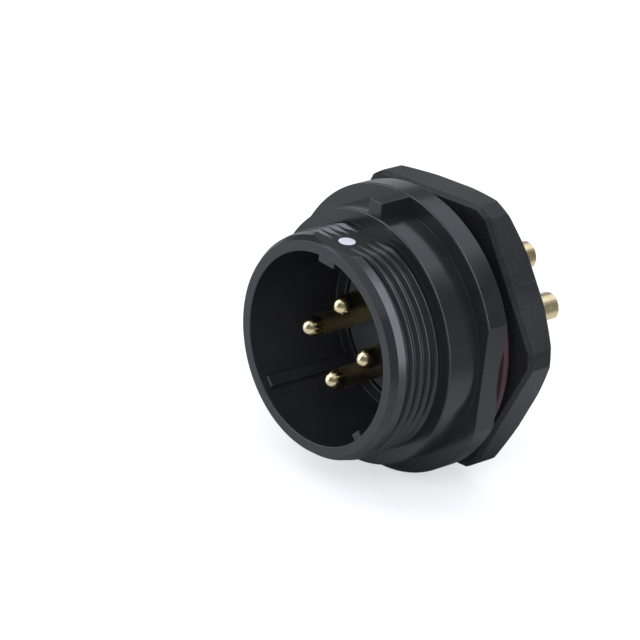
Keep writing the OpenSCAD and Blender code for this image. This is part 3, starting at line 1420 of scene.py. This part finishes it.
@dataclass
class Studio:
    """Pale floor, soft lamps and the camera.

    Attributes:
        azimuth: direction to the camera from -Y towards +X, in degrees.
        elevation: its height angle in degrees.
        roll: its roll in degrees.
        distance: its distance from the point it looks at, in metres.
        aim: that point, in millimetres.
        lens: its focal length in millimetres.
        floor_size: side of the floor in metres.
        floor_gap: how far the floor lies under the object, in metres.
        floor_rough: roughness of the floor.
        floor_specular: specular level of the floor.
        painted_light_pool: part of the floor near the object, which takes its shadow; its grey is
            painted lighter there, as a patch of light.
        painted_pool_grey: painted grey of the floor there.
        pool_white: what the grey and the lift that the camera sees add up to there.
        painted_falloff_grey: painted grey of the floor farther away, darker as if less light fell
            there.
        far_white: what grey and lift add up to farther away.
        painted_shadow_spot: spot beneath the object where mirrors see the floor dark; a painted
            shadow.
        painted_shadow_depth: how dark the painted shadow is.
        room: how bright the room is in mirrors and on surfaces.
        mirrored: share of the white background that mirrors show.
        lamps: the lamps.
    """

    azimuth: float = 46.03
    elevation: float = 24.91
    roll: float = 6.60
    distance: float = 0.5
    aim: tuple[float, float, float] = (-1.09, -16.03, 3.76)
    lens: float = 201.4
    floor_size: float = 12.0
    floor_gap: float = 0.00005
    floor_rough: float = 0.16
    floor_specular: float = 0.25
    # Painted light: the floor's grey is bright near the object and dark farther away, as if lit there.
    painted_light_pool: Patch = Patch(-0.010, -0.020, 0.075, 1.7)
    painted_pool_grey: float = 0.58
    pool_white: float = 1.16
    painted_falloff_grey: float = 0.10
    far_white: float = 1.08
    # Painted shadow: a spot beneath the object that mirrors see dark.
    painted_shadow_spot: Patch = Patch(0.003, 0.002, 0.013, 1.9)
    painted_shadow_depth: float = 0.95
    room: float = 0.06
    mirrored: float = 0.12
    lamps: tuple[Softbox, ...] = (
        Softbox("overhead", 0.0, 90.0, 0.9, 1.8, 1.8, 0.60),
        Softbox("right_strip", 11.0, 38.0, 0.9, 0.50, 1.5, 4.4, Rays.GLOSSY),
        Softbox("upper_right", 56.0, 70.0, 0.9, 0.36, 0.36, 1.9),
        Softbox("left_back", 139.0, 9.0, 1.2, 1.0, 0.42, 0.50),
        Softbox("back_card", 101.0, 47.0, 0.85, 0.72, 0.40, 0.54, Rays.GLOSSY),
        Softbox("back_fill", 110.0, 34.0, 1.1, 1.0, 1.0, 1.2, Rays.DIFFUSE),
        Softbox("front_left", -135.0, 34.0, 0.55, 0.45, 0.45, 1.8),
        Softbox("pin_card", -132.0, 6.0, 1.0, 0.8, 0.5, 2.2, Rays.GLOSSY),
        Softbox("fill", -44.0, 26.0, 1.1, 1.2, 1.2, 3.6, Rays.DIFFUSE),
    )

    def build(self) -> None:
        """Build the floor, the world, the lamps and the camera."""
        self._floor()
        self._world()
        for lamp in self.lamps:
            lamp.build()
        self._camera()
        bpy.context.scene.view_settings.view_transform = "Standard"

    def _seen(self, tree: NodeTree, rays: bpy.types.Node) -> bpy.types.NodeSocket:
        """How much of the white background a ray sees.

        Args:
            tree: the tree of the floor's material or the world.
            rays: its Light Path node.

        Returns:
            The socket: 1 for what the camera sees straight or through glass, less in a mirror.
        """
        straight = tree.math("ADD", rays.outputs["Is Camera Ray"], rays.outputs["Is Transmission Ray"])
        mirrored = tree.math("MULTIPLY", rays.outputs["Is Glossy Ray"], self.mirrored)
        return tree.math("MAXIMUM", straight, mirrored)

    def _floor(self) -> None:
        """White floor just beneath the object; its grey, painted lighter near the object as a patch of
        light, and a lift for the camera make it white.
        """
        bm = bmesh.new()
        bmesh.ops.create_grid(bm, x_segments=1, y_segments=1, size=self.floor_size / 2)
        moved(bm, z=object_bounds()[0].z - self.floor_gap)
        mesh = bpy.data.meshes.new("floor")
        bm.to_mesh(mesh)
        bm.free()
        floor = bpy.data.objects.new("floor", mesh)
        bpy.context.scene.collection.objects.link(floor)
        material = bpy.data.materials.new("floor_white")
        material.use_nodes = True
        nodes = material.node_tree.nodes
        tree = NodeTree(material.node_tree)
        rays = tree.add("LightPath")
        point = tree.add("TexCoord").outputs["Object"]
        # Painted light: grey floor, lighter near the object and darker farther away.
        far = self.painted_light_pool.outside(tree, point)
        grey = tree.blend((self.painted_pool_grey,) * 3, (self.painted_falloff_grey,) * 3, far)
        # Painted shadow beneath the object, shown only to mirrors.
        painted_shadow_spot = tree.remap(self.painted_shadow_spot.outside(tree, point), 0.0, 1.0, self.painted_shadow_depth, 0.0)
        dark = tree.math("MULTIPLY", painted_shadow_spot, rays.outputs["Is Glossy Ray"])
        shade = tree.add("Mix", data_type="RGBA", A=grey, B=(0.0, 0.0, 0.0, 1.0), Factor=dark)
        shader = tree.fill(
            nodes["Principled BSDF"],
            Base_Color=shade.outputs["Result"],
            Roughness=self.floor_rough,
            Specular_IOR_Level=self.floor_specular,
        )
        needed = tree.remap(
            far, 0.0, 1.0, self.pool_white - self.painted_pool_grey, self.far_white - self.painted_falloff_grey
        )
        lift = tree.add(
            "Emission",
            Color=(1.0, 1.0, 1.0, 1.0),
            Strength=tree.math("MULTIPLY", self._seen(tree, rays), needed),
        )
        both = tree.add("AddShader")
        tree.feed(both.inputs[0], shader.outputs[0])
        tree.feed(both.inputs[1], lift.outputs[0])
        tree.fill(nodes["Material Output"], Surface=both.outputs[0])
        mesh.materials.append(material)
        floor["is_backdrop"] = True

    def _world(self) -> None:
        """Dim room that the camera sees as white."""
        world = bpy.data.worlds.new("room")
        bpy.context.scene.world = world
        world.use_nodes = True
        tree = NodeTree(world.node_tree)
        seen = self._seen(tree, tree.add("LightPath"))
        tree.fill(
            world.node_tree.nodes["Background"],
            Color=(1.0, 1.0, 1.0, 1.0),
            Strength=tree.remap(seen, 0.0, 1.0, self.room, 1.0),
        )

    def _camera(self) -> None:
        """Camera at the viewing angle, without shift or depth of field."""
        turn, up = math.radians(self.azimuth), math.radians(self.elevation)
        back = Vector((math.sin(turn) * math.cos(up), -math.cos(turn) * math.cos(up), math.sin(up)))
        level = Vector((math.cos(turn), math.sin(turn), 0.0))
        tilt = math.radians(self.roll)
        right = level * math.cos(tilt) + back.cross(level) * math.sin(tilt)
        data = bpy.data.cameras.new("camera")
        data.lens = self.lens
        data.sensor_width = 36.0
        data.clip_start = 0.01
        data.clip_end = 20.0
        camera = bpy.data.objects.new("camera", data)
        turned_to = Matrix((right, back.cross(right), back)).transposed().to_4x4()
        place = Matrix.Translation(Vector(self.aim) * MM + back * self.distance)
        camera.matrix_world = place @ turned_to
        bpy.context.scene.collection.objects.link(camera)
        bpy.context.scene.camera = camera


def main() -> None:
    """Build the studio and the connector's visible pieces in order."""
    logging.basicConfig(level=logging.INFO, format="%(asctime)s %(name)s: %(message)s")
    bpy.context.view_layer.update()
    effects = Effects()
    for finish in FINISHES:
        finish.build(effects)
    pitch = 1.5
    coupling = Thread(major_r=16.5, height=0.67, pitch=pitch, crest_y=-13.76, crest_w=0.22)
    mounting = Thread(major_r=15.0, height=0.9, pitch=pitch, crest_y=2.0, crest_w=0.34)
    boss_y = node_box("front_insulator")[0].y
    contacts = [Contact(number, boss_y) for number in range(1, 5)]
    stack = InsulatorStack(contacts)
    Studio().build()
    Shell(coupling, mounting).build()
    AlignmentDot().build()
    HexNut(mounting).build()
    PanelGasket(mounting.major_r).build()
    for contact in contacts:
        contact.build()
    stack.build_front()
    stack.build_rear()
    stack.build_ring()
    for node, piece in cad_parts.items():
        if "seal" in node:
            dress(piece, SEAL_FINISH)
            log.info("%s keeps its frame mesh", node)


if __name__ == "__main__":
    main()
